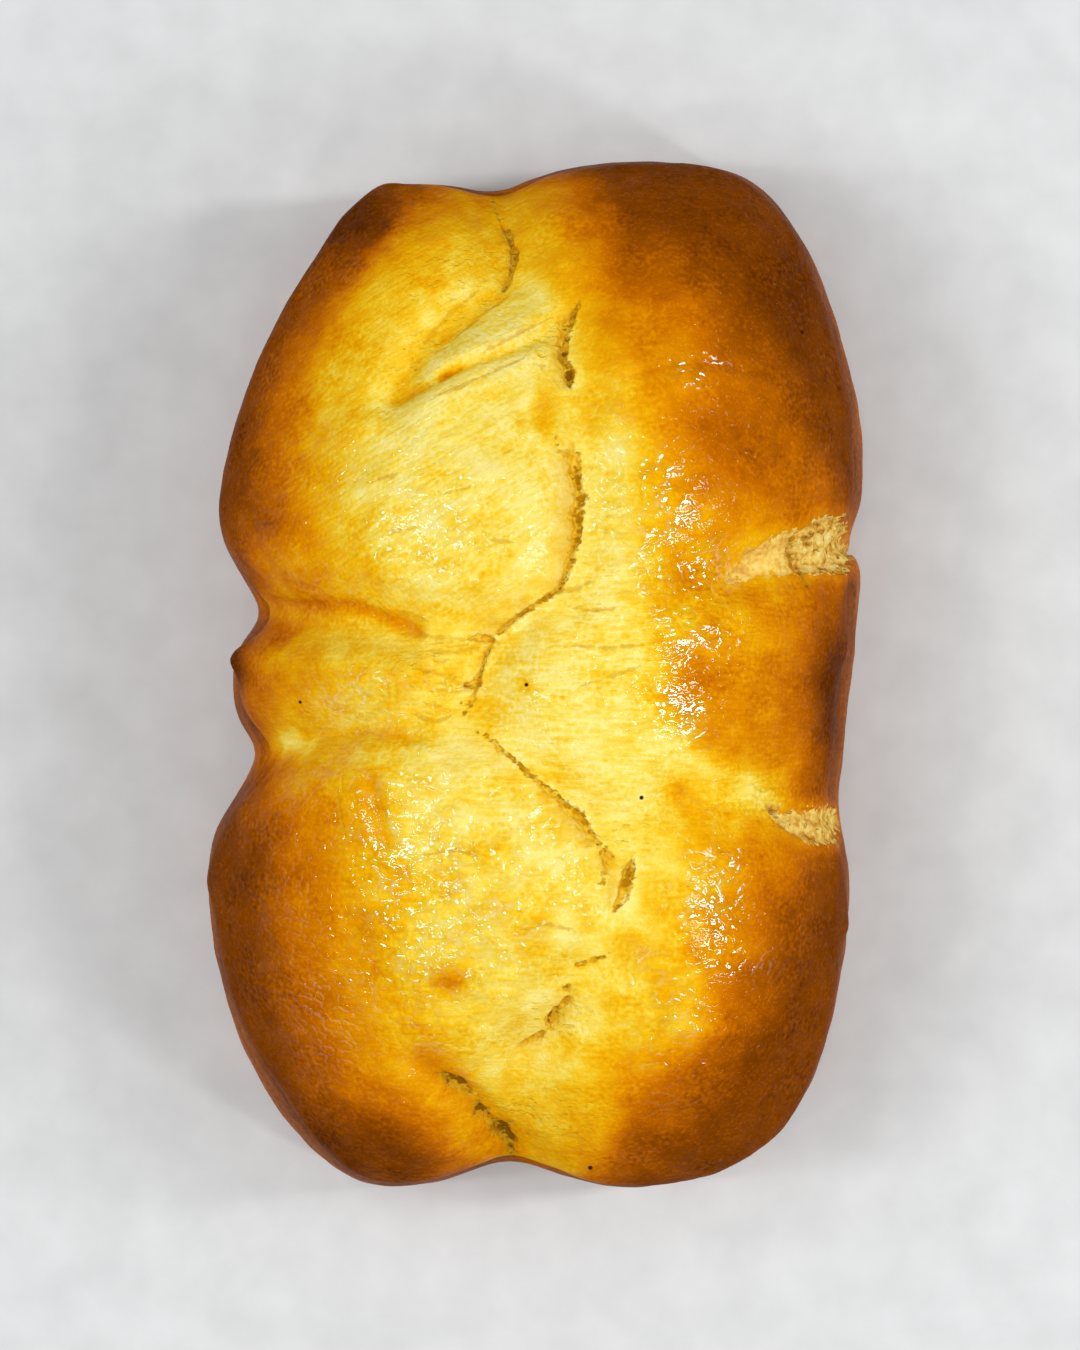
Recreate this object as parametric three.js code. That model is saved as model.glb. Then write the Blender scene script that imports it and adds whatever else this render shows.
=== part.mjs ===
// A brioche loaf: six balls of dough baked side by side, two rows of three, in one tin.
// The balls rose out of the tin, grew together into one crown and tore open along their seams.
// Millimetres, +Z up, +Y towards the back end, origin under the middle of the loaf on its flat base.
import * as THREE from "three";

// Driving dimensions.
const RIM_HEIGHT = 44; // where the dough rose out of the tin
const CROWN_HEIGHT = 83; // the crown over the rim, before the balls lift it and the seams cut it
const RIM = { right: 60.5, left: 65.5, back: 100.5, front: 101 }; // how far the loaf reaches at the rim
const FOOT_RADIUS = 4; // rounding between the wall and the base
const LIP_THICKNESS = 3; // of the edge that hangs over along both sides
const LIP_UNDERCUT = 1.8; // how far the wall steps back under that edge
const WALL_BULGE = 1; // how far the wall swells between the rim and the foot
const CROWN_FULLNESS = 2.3; // the higher, the flatter the top
const SHOULDER_ROUND = 0.6; // the lower, the steeper the shoulders

// How square each corner is in plan: 2 is an ellipse.
const CORNER = { backRight: 3.9, frontRight: 3.9, frontLeft: 3.6, backLeft: 2.3 };

// How much further than the rim the foot of the wall reaches at each corner.
const FLARE = { backRight: 8, frontRight: 4, frontLeft: 5.5, backLeft: 0.5 };

// Dips in the outline: sharp where neighbouring balls meet, wide where a ball stayed small.
// foot is the share of the dip that is left at the base, and a depth below 0 makes a swelling.
const DIPS = [
  { x: 60, y: 26, depth: 3, spread: 4, foot: 1 },
  { x: 60, y: -27, depth: 3, spread: 9, foot: 0.8 },
  { x: 60, y: -11, depth: 2.5, spread: 18, foot: 1 },
  { x: 60, y: 46, depth: -2, spread: 16, foot: 1 },
  { x: -65, y: 15, depth: 10, spread: 9, foot: 0.75 },
  { x: -65, y: -20, depth: 10, spread: 9, foot: 0.75 },
  { x: -65, y: -4, depth: 6, spread: 20, foot: 0.75 },
  { x: -9, y: 101, depth: 4, spread: 8, foot: 0.6 },
  { x: -8, y: 101, depth: 3, spread: 20, foot: 0.6 },
  { x: -36, y: 94, depth: -4, spread: 12, foot: 1 },
  { x: -6, y: -100, depth: 6.5, spread: 13, foot: 0.7 },
  { x: -50, y: -84, depth: 4, spread: 22, foot: 0 },
  { x: -36, y: -99, depth: -2.5, spread: 14, foot: 1 },
  { x: 40, y: 97, depth: -1.5, spread: 14, foot: 1 },
];

// Points of crust drawn out over the tin's rim.
const RIM_TIPS = [
  { x: -58, y: 3, reach: 4.5, spread: 3 },
  { x: -63, y: -40, reach: 2, spread: 4 },
  { x: 60, y: 5, reach: 1.5, spread: 3 },
  { x: 60, y: -48, reach: 2, spread: 4 },
  { x: -30, y: 94, reach: 1.5, spread: 3 },
];

// Each ball's top, with how far it lifts the crown.
const BALLS = [
  { name: "back right", x: 28, y: 52, across: 28, along: 34, lift: 3 },
  { name: "middle right", x: 26, y: -2, across: 30, along: 24, lift: 3 },
  { name: "front right", x: 30, y: -58, across: 26, along: 32, lift: 3 },
  { name: "back left", x: -22, y: 40, across: 28, along: 34, lift: 5 },
  { name: "middle left", x: -34, y: -3, across: 22, along: 12, lift: 2 },
  { name: "front left", x: -22, y: -48, across: 30, along: 34, lift: 5 },
];

// Seams between the balls as lines on the plan, each with the depth and the spread of its valley.
const VALLEYS = [
  {
    name: "middle",
    depth: 3,
    spread: 5,
    line: [[-8, 97], [-5, 78], [5, 60], [7, 38], [5, 16], [-9, 6], [-12, -8], [4, -23], [17, -36], [12, -52],
      [0, -68], [-8, -82], [-5, -97]],
  },
  { name: "right upper", depth: 4, spread: 6, line: [[68, 23], [48, 22], [28, 18]] },
  { name: "right lower", depth: 4, spread: 6, line: [[68, -29], [46, -26], [26, -23]] },
  { name: "left upper", depth: 6, spread: 6, line: [[-66, 13], [-40, 12], [-24, 9], [-9, 7]] },
  { name: "left lower", depth: 5, spread: 6, line: [[-66, -18], [-45, -12], [-28, -10], [-12, -6]] },
  { name: "back left fold", depth: 3.5, spread: 4, line: [[-5, 74], [-14, 68], [-22, 60], [-27, 50]] },
  { name: "right upper tear", depth: 3.5, spread: 4, line: [[64, 21], [50, 21.5], [37, 19]] },
  { name: "right lower tear", depth: 3, spread: 4, line: [[62, -28], [46, -26]] },
];

// Cracks that opened in the seams, as lines on the plan.
const CRACKS = [
  { name: "back", depth: 2.5, spread: 1.6, line: [[-8, 95], [-5, 82], [-5, 73]] },
  {
    name: "upper",
    depth: 3,
    spread: 1.6,
    line: [[7.5, 68], [4, 57], [7.5, 39], [8, 28], [5, 15], [-8, 7], [-12, -4], [-18, -9]],
  },
  { name: "lower", depth: 2.5, spread: 1.6, line: [[-11, -10], [4, -23], [17, -36], [15, -43]] },
  { name: "short", depth: 2.5, spread: 1.6, line: [[14, -50], [7, -54]] },
  { name: "front hole", depth: 3.5, spread: 1.8, line: [[6, -58], [3, -64], [-4, -70]] },
  { name: "front", depth: 3.5, spread: 1.8, line: [[-16, -77], [-10, -83], [-5, -93]] },
];
const SEAM_STEPS = 10; // straight pieces between two points of a seam
const CRACK_PULL = 1.5; // mesh points this near a crack move onto it, so that its bottom is sharp

// Mesh steps: across and along the crown, and the share of the outline where the crown's grid ends.
const STEPS_ACROSS = 44;
const STEPS_ALONG = 70;
const CROWN_EDGE = 0.965;
const SHOULDER_EDGE = 0.99; // the ring of points between the crown's grid and the rim

// 1 at distance 0, falling smoothly to 0.
const bell = (distance) => Math.exp(-distance * distance);

// How much further than the rim the foot reaches at an angle, mixed from the four corners.
function flareAt(angle) {
  const toRight = (1 + Math.cos(angle)) / 2;
  const toBack = (1 + Math.sin(angle)) / 2;
  const back = THREE.MathUtils.lerp(FLARE.backLeft, FLARE.backRight, toRight);
  const front = THREE.MathUtils.lerp(FLARE.frontLeft, FLARE.frontRight, toRight);
  return THREE.MathUtils.lerp(front, back, toBack);
}

// Distance from the middle of the loaf to its outline. drop is 0 at the rim and 1 at the foot of the wall.
function outlineRadius(angle, drop = 0) {
  const across = Math.cos(angle);
  const along = Math.sin(angle);
  const corner = CORNER[(along > 0 ? "back" : "front") + (across > 0 ? "Right" : "Left")];
  const halfWidth = across > 0 ? RIM.right : RIM.left;
  const halfLength = along > 0 ? RIM.back : RIM.front;
  const plain = (Math.abs(across / halfWidth) ** corner + Math.abs(along / halfLength) ** corner) ** (-1 / corner);
  return DIPS.reduce((radius, dip) => {
    const distance = Math.hypot(plain * across - dip.x, plain * along - dip.y);
    return radius - THREE.MathUtils.lerp(dip.depth, dip.depth * dip.foot, drop) * bell(distance / dip.spread);
  }, plain);
}

// How far the tips push the rim out at a point of the outline.
function tipReach(x, y) {
  return RIM_TIPS.reduce((sum, tip) => sum + tip.reach * bell(Math.hypot(x - tip.x, y - tip.y) / tip.spread), 0);
}

// A seam with its line as closely spaced points of a smooth curve.
function withCurve(seam) {
  const curve = new THREE.SplineCurve(seam.line.map(([x, y]) => new THREE.Vector2(x, y)));
  return { ...seam, points: curve.getPoints(SEAM_STEPS * (seam.line.length - 1)) };
}
const valleys = VALLEYS.map(withCurve);
const cracks = CRACKS.map(withCurve);

// The point of a seam nearest to a point of the plan.
function nearestOnSeam(seam, point) {
  const nearest = new THREE.Vector2();
  let least = Infinity;
  for (let i = 1; i < seam.points.length; i++) {
    const from = seam.points[i - 1];
    const step = seam.points[i].clone().sub(from);
    const share = THREE.MathUtils.clamp(point.clone().sub(from).dot(step) / step.lengthSq(), 0, 1);
    const candidate = from.clone().addScaledVector(step, share);
    const distance = candidate.distanceTo(point);
    if (distance < least) {
      least = distance;
      nearest.copy(candidate);
    }
  }
  return nearest;
}

// Moves a point of the plan onto the crack that it nearly touches.
function pulledToCracks(point) {
  const pulled = point.clone();
  for (const crack of cracks) {
    const target = nearestOnSeam(crack, pulled);
    pulled.lerp(target, bell((target.distanceTo(pulled) / CRACK_PULL) ** 2));
  }
  return pulled;
}

// Height of the crown over a point of the plan inside the outline.
function crownHeight(point) {
  const share = Math.min(1, point.length() / outlineRadius(point.angle()));
  const dome = (1 - share ** CROWN_FULLNESS) ** SHOULDER_ROUND;
  let height = RIM_HEIGHT + (CROWN_HEIGHT - RIM_HEIGHT) * dome;
  for (const ball of BALLS) {
    height += ball.lift * dome * bell(Math.hypot((point.x - ball.x) / ball.across, (point.y - ball.y) / ball.along));
  }
  for (const seam of [...valleys, ...cracks]) {
    height -= seam.depth * dome * bell(nearestOnSeam(seam, point).distanceTo(point) / seam.spread);
  }
  return height;
}

// How far the middle of the straight line between two points of the crown lies off its surface.
function sag(from, to) {
  const middle = from.clone().add(to).multiplyScalar(0.5);
  return Math.abs(crownHeight(new THREE.Vector2(middle.x, middle.y)) - middle.z);
}

// A point of the square from -1 to 1 as a ring number from 0 to 1 and a turn round the disc.
function squareToDisc(u, v) {
  const ring = Math.max(Math.abs(u), Math.abs(v));
  if (ring === 0) return { ring, turn: 0 };
  const eighth = Math.PI / 4;
  const turn =
    Math.abs(u) >= Math.abs(v)
      ? eighth * (v / u) + (u < 0 ? Math.PI : 0)
      : Math.PI / 2 - eighth * (u / v) + (v < 0 ? Math.PI : 0);
  return { ring, turn };
}

// The angle on the plan for a turn round the disc, spaced for a loaf longer than wide.
function planAngle(turn) {
  return Math.atan2(Math.sin(turn) * RIM.back, Math.cos(turn) * RIM.right);
}

// A point of the crown's grid.
function crownPoint(column, row) {
  const { ring, turn } = squareToDisc((2 * column) / STEPS_ACROSS - 1, (2 * row) / STEPS_ALONG - 1);
  const angle = planAngle(turn);
  const plan = new THREE.Vector2(Math.cos(angle), Math.sin(angle));
  plan.multiplyScalar(ring * CROWN_EDGE * outlineRadius(angle));
  const point = ring === 1 ? plan : pulledToCracks(plan);
  return new THREE.Vector3(point.x, point.y, crownHeight(point));
}

// The grid's edge, anticlockwise seen from above, as [column, row] pairs.
function crownEdge() {
  const edge = [];
  for (let column = 0; column < STEPS_ACROSS; column++) edge.push([column, 0]);
  for (let row = 0; row < STEPS_ALONG; row++) edge.push([STEPS_ACROSS, row]);
  for (let column = STEPS_ACROSS; column > 0; column--) edge.push([column, STEPS_ALONG]);
  for (let row = STEPS_ALONG; row > 0; row--) edge.push([0, row]);
  return edge;
}

// The loaf's side at one angle, from the shoulder down to the base.
function sidePoints(angle) {
  const direction = new THREE.Vector2(Math.cos(angle), Math.sin(angle));
  const rim = direction.clone().multiplyScalar(outlineRadius(angle));
  const flare = flareAt(angle);
  const undercut = LIP_UNDERCUT * Math.abs(Math.cos(angle));
  const reach = tipReach(rim.x, rim.y);
  const at = (outward, height, drop) => {
    const plan = direction.clone().multiplyScalar(outlineRadius(angle, drop) + outward);
    return new THREE.Vector3(plan.x, plan.y, height);
  };
  const shoulder = rim.clone().multiplyScalar(SHOULDER_EDGE);
  const wall = (share) => {
    const outward = flare * share + WALL_BULGE * Math.sin(Math.PI * share);
    return at(outward, RIM_HEIGHT * (1 - share), share);
  };
  const foot = FOOT_RADIUS / RIM_HEIGHT;
  return [
    new THREE.Vector3(shoulder.x, shoulder.y, crownHeight(shoulder)),
    at(reach, RIM_HEIGHT, 0),
    at(reach / 2 - undercut, RIM_HEIGHT - LIP_THICKNESS, 0),
    wall(0.35),
    wall(0.65),
    wall(1 - foot),
    at(flare - FOOT_RADIUS / 3, FOOT_RADIUS / 3, 1),
    at(flare - FOOT_RADIUS, 0, 1),
  ];
}

// The whole loaf as one closed surface: the crown's grid, the rings of the side and the flat base.
function loafGeometry() {
  const positions = [];
  const triangles = [];
  const add = (point) => positions.push(point.x, point.y, point.z) / 3 - 1;
  const pointAt = (corner) => new THREE.Vector3().fromArray(positions, 3 * corner);
  const addQuad = (a, b, c, d) => triangles.push(a, b, c, a, c, d);

  const grid = [];
  for (let row = 0; row <= STEPS_ALONG; row++) {
    grid.push([]);
    for (let column = 0; column <= STEPS_ACROSS; column++) grid[row].push(add(crownPoint(column, row)));
  }
  for (let row = 0; row < STEPS_ALONG; row++) {
    for (let column = 0; column < STEPS_ACROSS; column++) {
      const quad = [grid[row][column], grid[row][column + 1], grid[row + 1][column + 1], grid[row + 1][column]];
      const [a, b, c, d] = quad.map(pointAt);
      if (sag(a, c) > sag(b, d)) quad.push(quad.shift());
      addQuad(...quad);
    }
  }

  const edge = crownEdge();
  let upper = edge.map(([column, row]) => grid[row][column]);
  const sides = edge.map(([column, row]) => {
    const { turn } = squareToDisc((2 * column) / STEPS_ACROSS - 1, (2 * row) / STEPS_ALONG - 1);
    return sidePoints(planAngle(turn));
  });
  for (let ring = 0; ring < sides[0].length; ring++) {
    const lower = sides.map((points) => add(points[ring]));
    lower.forEach((corner, i) => {
      const next = (i + 1) % lower.length;
      addQuad(upper[i], corner, lower[next], upper[next]);
    });
    upper = lower;
  }

  const middle = add(new THREE.Vector3(0, 0, 0));
  upper.forEach((corner, i) => triangles.push(middle, upper[(i + 1) % upper.length], corner));

  const geometry = new THREE.BufferGeometry();
  geometry.setAttribute("position", new THREE.Float32BufferAttribute(positions, 3));
  geometry.setIndex(triangles);
  geometry.computeBoundingBox();
  const centre = geometry.boundingBox.getCenter(new THREE.Vector3());
  geometry.translate(-centre.x, -centre.y, 0);
  geometry.computeVertexNormals();
  return geometry;
}

const crust = new THREE.MeshStandardMaterial({ color: 0xc9781a, roughness: 0.35, metalness: 0 });
const loaf = new THREE.Mesh(loafGeometry(), crust);
loaf.name = "loaf";

const brioche = new THREE.Group();
brioche.add(loaf);

export default brioche;
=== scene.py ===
"""The looks of the brioche loaf: a finer mesh over the CAD loaf, its crust and crumb, and the studio.

Blender works in metres. Sizes on the loaf are written in millimetres and turned into metres with MM.
Plan points are (x, y) seen from above, with +Y towards the loaf's back end.
"""

import math
from types import SimpleNamespace

import bmesh
import bpy
import numpy as np
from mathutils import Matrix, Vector, noise


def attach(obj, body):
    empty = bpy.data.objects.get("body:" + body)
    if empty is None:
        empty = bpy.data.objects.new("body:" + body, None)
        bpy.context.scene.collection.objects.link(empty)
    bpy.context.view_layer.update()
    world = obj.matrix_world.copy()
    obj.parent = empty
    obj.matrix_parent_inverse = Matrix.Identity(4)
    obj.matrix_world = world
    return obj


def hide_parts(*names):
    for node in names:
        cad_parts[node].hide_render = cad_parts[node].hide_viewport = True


MM = 0.001

# Camera: straight above the loaf.
PHOTO_SIZE = (1080, 1350)
FOCAL_PIXELS = 3354
SENSOR_MM = 36
CAMERA_HEIGHT_MM = 700
CAMERA_SHIFT_MM = (0.6, 0)

# Mesh: how far the surface is refined, and how the wide CAD cracks are closed before fine ones are cut.
SMOOTH_LEVELS = 2
MERGE_MM = 0.001
THIN_BELOW_MM = 40
THIN_ROUNDS = 2
CRACK_REFINE_MM = (1.4, 0.45)
TEAR_REFINE_MM = 0.6
FILL_REACH_MM = (4.5, 9.0)
FILL_ROUNDS = 120
# A dent beside the middle pocket that is levelled too: middle and half sizes on the plan.
LEVELLED = (0, 2, 9, 11)

# The loaf: height of the rim that the tin gave it and how exactly it is found, heights between which the
# crown and the wall begin, and heights between which the base ends.
RIM_MM = 44
RIM_TOLERANCE_MM = 0.01
CROWN_MM = (RIM_MM - 2, RIM_MM + 6)
WALL_MM = (RIM_MM + 1, RIM_MM - 3)
BASE_EDGE_MM = (0.5, 4)

# Cracks and tears: how far from them they are still known, and how far below the rim cracks reach.
FIELD_REACH_MM = 3.0
CRACK_BELOW_RIM_MM = 4
# A crack's side that tucks under: the share of the crack's depth that it sinks, how softly it begins, and
# the crack's half width from which it is full.
TUCK_DEPTH = 0.6
TUCK_EDGE_MM = 0.2
TUCK_WIDTH_MM = 0.5
# A crack's bottom: the share of the half width that is level, how far its lip reaches, and the half width
# from which it has its full depth.
CRACK_LEVEL = 0.4
CRACK_LIP_MM = 0.4
CRACK_WIDTH_MM = 0.3
# How the half widths of cracks vary: middle and limits of the factor.
GAPE_MIDDLE = 0.9
GAPE_LIMITS = (0.3, 1.8)

# Hollows in the crown, where egg wash gathers and shade is painted in: rounds of smoothing that they are
# measured against, depths that count, and how much browner the crust is for each millimetre of depth.
HOLLOW_ROUNDS = 40
HOLLOW_DEPTHS_MM = (-0.2, 1)
HOLLOW_SHADE_BROWNING = 0.22

# Layers of noise: amount, lump size in millimetres and shift.
BROWNING_EDGE_NOISE = [(0.03, 9, 0.0), (0.02, 3.5, 3.1)]
UNEVEN_BROWNING_NOISE = [(0.12, 7, 1.7), (0.08, 2.6, 5.9)]
SEAM_STRAY_NOISE = [(3.0, 8.0, 13.0)]
GLAZE_NOISE = [(0.9, 5, 9.7)]
GAPE_NOISE = [(1.1, 3.2, 29.0)]
CREASE_NOISE = [(0.5, 2.6, 11.0)]
HEIGHT_NOISE = [(0.4, 11, 2.2), (0.15, 4, 4.4)]
CRUMB_NOISE = [(1.0, np.array([6.0, 1.8, 4.0]), 21.0), (0.4, 1.3, 23.0)]

# Browning from 0, pale, to 1, dark: the least of any crust, that of the middle, what the golden, brown and
# dark stages add to it, where the golden stage begins and ends round its place, and the dark one's length.
PALEST = 0.12
MIDDLE_BROWNING = 0.14
GOLDEN_ADDS = 0.31
BROWN_ADDS = 0.30
DARK_ADDS = 0.17
GOLDEN_STAGE = (-0.29, 0.04)
DARK_STAGE = 0.12
# How much fibres brown the crust, and how much more even brown crust is than pale crust.
FIBRE_BROWNING = 0.05
BROWN_EVENNESS = 0.85
# The wall's browning at the base, what is added up to the rim, and the heights between which it is added.
WALL_BROWNING = 0.73
RIM_ADDS = 0.20
RIM_ADDS_MM = (2, RIM_MM - 2)

# Fibres of stretched dough: size along, across and upwards, and height on pale crust.
FIBRE_MM = np.array([9, 1.6, 9])
FIBRE_HEIGHT_MM = 0.22

# Balls of dough: middle and half sizes on the plan, the direction of the stretched fibres and how much they
# show.
BALLS = {
    "back_right": ((28, 56), (31, 38), 10, 0.35),
    "middle_right": ((25, -3), (34, 28), 5, 1.0),
    "front_right": ((27, -60), (31, 35), 20, 0.45),
    "back_left": ((-25, 47), (33, 43), 30, 0.8),
    "middle_left": ((-31, -3), (26, 17), 0, 0.8),
    "front_left": ((-25, -53), (35, 41), -10, 0.6),
}
# How sharply balls end, and what keeps far points from belonging to none.
BALL_BLEND = 3.0
LEAST_CLOSENESS = 1e-9

# Browning round the loaf: direction on the plan in degrees, and the shares of the way from the middle to the
# rim where the crust turns golden and where it turns brown.
BROWNING = {
    "middle right ball": (0, 0.53, 0.93),
    "right upper tear": (20, 0.68, 0.95),
    "back right ball, side": (40, 0.48, 0.80),
    "back right ball, corner": (60, 0.45, 0.70),
    "back right ball, end": (78, 0.57, 0.75),
    "back seam, right": (84, 0.74, 0.92),
    "back seam": (92, 0.96, 1.10),
    "back left ball, lobe": (99, 0.95, 1.06),
    "back left ball, end": (109, 0.83, 0.89),
    "back left ball, corner": (135, 0.75, 0.87),
    "back left ball, side": (150, 0.64, 0.80),
    "left upper seam": (165, 0.86, 1),
    "middle left ball": (180, 0.74, 0.99),
    "left lower seam": (195, 0.90, 1.03),
    "front left ball, side": (212, 0.52, 0.73),
    "front left ball, corner": (235, 0.64, 0.84),
    "front left ball, end": (255, 0.75, 0.92),
    "front seam": (264, 0.96, 1.06),
    "front crumb": (272, 1.03, 1.14),
    "front right ball, end": (282, 0.76, 0.86),
    "front right ball, corner": (300, 0.61, 0.70),
    "front right ball, side": (318, 0.54, 0.80),
    "right lower tear": (332, 0.74, 0.92),
    "middle right ball, front": (342, 0.56, 0.93),
}

# Places paler or browner than their surroundings: middle, half sizes, and the change on the browning scale.
PATCHES = {
    "pale disc": (-12, 38, 20, 18, -0.12),
    "pale middle": (8, -3, 15, 12, -0.12),
    "golden disc front": (-13, 21, 12, 7, 0.10),
    "golden front left": (-15, -44, 18, 16, 0.10),
    "golden right front": (35, -13, 8, 6, 0.06),
    "pale back left": (-40, 56, 8, 9, -0.12),
    "pale left lower seam": (-47, -13, 6, 3.5, -0.30),
    "pale left upper seam": (-52, 14, 6, 2.5, -0.25),
    "pale by the upper crack": (14, 36, 6, 13, -0.26),
    "pale fold": (-8, 62, 12, 7, -0.14),
    "golden front": (8, -80, 12, 8, 0.07),
    "golden disc left": (-36, 26, 8, 10, 0.04),
    "golden front right": (20, -54, 9, 9, 0.05),
    "pale by the right lower tear": (41, -22, 7, 5, -0.25),
    "dark back left end": (-33, 87, 13, 6, 0.18),
    "dark back right corner": (48, 72, 9, 12, 0.05),
    "golden right side": (26, 4, 9, 14, 0.27),
    "golden middle left": (-27, 1, 16, 9, 0.15),
    "pale back seam": (2, 73, 8, 8, -0.07),
    "golden lobe": (-22, 77, 13, 6, 0.02),
    "pale strands": (-8, 58, 14, 6, -0.10),
    "pale front crumb": (-6, -76, 8, 7, -0.04),
    "pale front right": (29, -62, 7, 9, -0.12),
    "orange back right": (33, 42, 10, 9, 0.17),
    "dark right rim": (57, -3, 6, 14, 0.25),
    "dark front right rim": (50, -43, 10, 12, 0.055),
    "dark left tip": (-60, 2, 4, 5, 0.4),
    "dark front left foot": (-28, -90, 12, 8, 0.2),
    "bubble": (-1.8, -2.2, 1.8, 1.6, 0.28),
    "glaze in the upper seam": (1.5, 49, 2.5, 6, 0.30),
    "browned fold edge": (-40, 17, 12, 3, 0.14),
    "browned fleck": (-16, -57, 3, 2.5, 0.3),
    "golden fleck, upper": (-3, 46, 1.2, 2.4, 0.2),
    "golden fleck, lower": (-5.6, 41.5, 1.6, 0.9, 0.2),
}

# Seams between the balls that run on down the walls, paler at the top and fading towards the base: middle,
# half sizes and the change on the browning scale.
WALL_SEAMS = {
    "left upper": (-58, 14, 8, 3.5, -0.34),
    "left lower": (-56, -16, 8, 4.5, -0.34),
    "front": (-1, -98, 6.5, 8, -0.30),
    "back": (-6, 98, 5.5, 8, -0.26),
    "right upper": (60, 24, 8, 4, -0.1),
}
SEAM_FADE_MM = (6, 48)
# The changes between which the walls' sheen begins.
SEAM_SHEEN = (-0.2, 0)

# Egg wash that pooled and stayed glassy: middle, half sizes and amount.
GLAZE = {
    "right, back": (25, 31, 4.5, 6, 1),
    "right, by the tear": (31, 21, 5.5, 6.5, 1),
    "right, upper": (29.5, 9, 6, 7, 1),
    "right, middle": (26, -6, 5, 6, 1),
    "right, lower": (33, -42, 6, 9, 1),
    "right, front": (37, -54, 6, 3, 1),
    "back right": (28, 57, 6, 3, 0.9),
    "back left": (-32, 35, 12, 10, 0.4),
    "middle left": (-32, -5, 8, 6, 1),
    "front left": (-18, -42, 22, 26, 1),
    "disc": (-16, 30, 24, 22, 0.5),
    "middle": (6, -4, 20, 14, 0.3),
    "right of the upper crack": (17, 32, 8, 16, 0.7),
    "front left, outer": (-36, -62, 9, 12, 0.6),
    "front right": (24, -66, 7, 12, 0.8),
}
LEAST_GLAZE = 0.03
# Thin sheen on steep sides: its amount, and how much a side faces upwards where it starts and where it is
# full.
SIDE_SHEEN = 0.12
SIDE_SHEEN_FACING = (0.45, 0.1)

# Cracks: depth, the width of the side that tucks under and is painted in shade (to the left of the line's
# direction where above 0, to the right where below), and points of the line on the plan with the crack's
# half width there.
CRACKS = {
    "back": (0.9, -1.5, [
        (-8.7, 93.4, 0), (-7.6, 88, 0.1), (-5.4, 84, 0.7), (-4.2, 80, 1), (-4.8, 76.5, 0.9),
        (-6.2, 73, 0.2),
    ]),
    "upper pocket, back": (1, -1.6, [(7.6, 69.2, 0.3), (5.4, 65.5, 0.9), (4.4, 62, 0.7)]),
    "upper pocket": (1.2, -2, [(5.6, 63, 0.6), (4.6, 59.5, 1.3), (5.8, 56.5, 1.1), (6.2, 53.2, 0.1)]),
    "upper, back": (0.5, -2, [(3.6, 44.5, -0.2), (4.1, 41.6, 0.2), (7.1, 40, 0.5)]),
    "upper": (1, -3.6, [
        (7.1, 40, 0.8), (7.7, 35, 1.5), (7.2, 30.8, 1.2), (7.7, 27, 1), (6.2, 21, 0.4), (4.2, 16, 0.3),
        (-3.8, 10.6, 0.25), (-7.2, 7.8, 0.5),
    ]),
    "middle pocket, back": (1, -1.2, [(-13, 7, 0), (-10.4, 6.8, 0.6), (-8.2, 6.4, 0.9)]),
    "middle pocket": (0.7, -1.4, [
        (-8.2, 6.4, 0.6), (-9.5, 3.7, 0.2), (-10.8, -0.9, 0.25), (-12, -5, 0.2), (-13.5, -7.5, -0.1),
    ]),
    "middle pocket, left": (0.9, 1, [(-13.2, -2, 0.4), (-11.2, -1.6, 0.7)]),
    "middle pocket, front": (0.9, 1, [(-14, -5.2, 0.2), (-12.6, -5, 0.6)]),
    "lower": (0.5, -2.6, [
        (-11.3, -10.2, 0.1), (-8.4, -12, 0.25), (-1.2, -18.5, 0.25), (4.2, -23, 0.4), (7.7, -26.3, 0.8),
        (10.1, -29.6, 0.6), (13.7, -33.6, 0.4),
    ]),
    "lower pocket": (1, -1.4, [
        (17.6, -34.6, 0.4), (16.6, -38.2, 1.2), (15.4, -41.2, 0.9), (14.4, -43.8, 0.1),
    ]),
    "lower pocket, left": (0.5, 1.2, [(11.5, -31.5, 0), (13, -35.5, 0.4), (12, -38.5, 0)]),
    "short": (0.8, 1, [(13.4, -51.6, 0.1), (10.6, -52.9, 0.5), (9.6, -53.4, 0), (7.6, -54, 0.2)]),
    "speckled hole": (0.8, 0.8, [(5.9, -58, 0.3), (5.5, -58.6, 0.3)]),
    "hole, back": (1, 1, [(5.6, -60.6, 0.4), (4.8, -61.6, 0.5)]),
    "hole": (1.3, 1.6, [(3.6, -62.6, 0.6), (2.6, -64.4, 1.1), (2.2, -65.6, 0.3)]),
    "hole, front": (1, 1, [(1, -67.4, 0.2), (-0.6, -68.4, 0.7), (-3.2, -70.2, 0.2)]),
    "front, left": (1.4, -1.6, [
        (-17.4, -76.2, 0.4), (-15.6, -77.2, 1.5), (-13.6, -79, 0.8), (-11.4, -80.6, 0.4),
    ]),
    "front": (1.2, -1.4, [(-10.8, -82.6, 0.5), (-10.2, -84.2, 1.2), (-8.6, -86, 0.5)]),
    "front, edge": (1.2, -1.2, [
        (-7.6, -86.8, 1.2), (-6.4, -88.2, 2), (-5.2, -91.5, 1.4), (-5, -94, 0.6),
    ]),
    "flap": (1, 1.2, [(50, 27, 0.1), (50.2, 23, 0.3), (50.4, 19.6, 0.4), (51.4, 17.4, 0.4)]),
}
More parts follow.
